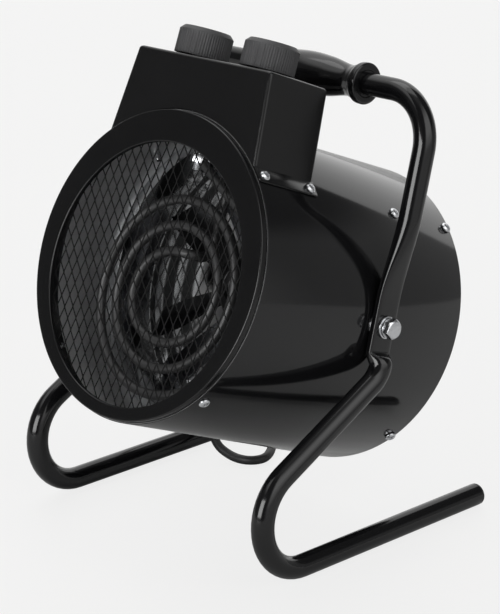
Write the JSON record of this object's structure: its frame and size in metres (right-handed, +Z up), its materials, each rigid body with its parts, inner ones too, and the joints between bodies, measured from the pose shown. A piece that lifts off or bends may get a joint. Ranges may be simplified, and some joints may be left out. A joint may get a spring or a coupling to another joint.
{
  "type": "forced air heater",
  "caption": "Drum-shaped electric fan heater that tilts in a bent-tube stand with a carrying grip, rotary controls on top and a mains lead.",
  "frame": {"origin": "on the floor, at the middle of the outline of the heater without its lead", "axes": "+Z up, -Y the way the warm air leaves, +X towards the leg that is nearer in the picture"},
  "size_m": [0.363, 0.3889, 0.3563],
  "materials": {
    "casing_black": "gloss",
    "bezel_black": "satin",
    "net_black": "satin",
    "box_black": "satin",
    "tube_black": "gloss",
    "duct_steel": "satin",
    "bracket_steel": "satin",
    "grille_black": "satin",
    "element_steel": "satin",
    "zinc": "satin",
    "motor_steel": "satin",
    "bell_aluminium": "satin",
    "fan_aluminium": "satin",
    "knob_grey": "matte",
    "grip_black": "gloss",
    "cap_black": "matte",
    "cord_black": "satin",
    "plug_black": "matte",
    "pin_nickel": "polished",
    "gland_black": "matte",
    "insulator_white": "satin",
    "switch_white": "matte",
    "thermostat_brown": "satin",
    "block_white": "matte"
  },
  "bodies": {
    "drum": {"drum_casing": "casing_black", "front_bezel": "bezel_black", "front_net": "net_black", "fan_duct": "duct_steel", "heating_element": "element_steel", "element_bracket": "bracket_steel", "element_nuts": "zinc", "element_insulators": "insulator_white", "element_studs": "zinc", "motor_bracket": "bracket_steel", "motor_front_bell": "bell_aluminium", "motor_stator": "motor_steel", "motor_rear_bell": "bell_aluminium", "rear_grille": "grille_black", "control_box": "box_black", "selector_switch": "switch_white", "thermostat": "thermostat_brown", "terminal_block": "block_white", "thermal_cutout": "bell_aluminium", "pivot_spacers": "zinc", "pivot_washers": "zinc", "spring_washers": "zinc", "pivot_bolts": "zinc", "pivot_nuts": "zinc", "box_screws": "zinc", "bezel_screws": "zinc", "bracket_screws": "zinc", "rear_screws": "zinc", "cable_gland": "gland_black", "gland_locknut": "gland_black", "cord_relief": "gland_black", "cord_entry": "cord_black"},
    "fan": {"fan_rotor": "fan_aluminium", "motor_shaft": "zinc"},
    "thermostat_dial": {"thermostat_knob": "knob_grey", "thermostat_spindle": "zinc"},
    "selector_dial": {"selector_knob": "knob_grey", "selector_spindle": "zinc"},
    "stand": {"stand_tube": "tube_black", "handle_grip": "grip_black", "foot_caps": "cap_black", "cord_lead": "cord_black", "cord_coil": "cord_black", "cord_tail": "cord_black", "plug_body": "plug_black", "plug_pins": "pin_nickel"}
  },
  "joints": [
    {"name": "drum_tilt", "type": "hinge", "parent": "stand", "child": "drum", "pos_m": [0, 0.01871, 0.1585], "axis": [1, 0, 0], "range_deg": [-11, 45]},
    {"name": "fan_spin", "type": "hinge", "parent": "drum", "child": "fan", "pos_m": [0, 0.01871, 0.1585], "axis": [0, -0.9272, 0.3746], "continuous": true},
    {"name": "thermostat_turn", "type": "hinge", "parent": "drum", "child": "thermostat_dial", "pos_m": [-0.033, -0.01131, 0.33154], "axis": [0, 0.3746, 0.9272], "range_deg": [-270, 0]},
    {"name": "selector_turn", "type": "hinge", "parent": "drum", "child": "selector_dial", "pos_m": [0.033, -0.01131, 0.33154], "axis": [0, 0.3746, 0.9272], "range_deg": [-180, 0]}
  ]
}
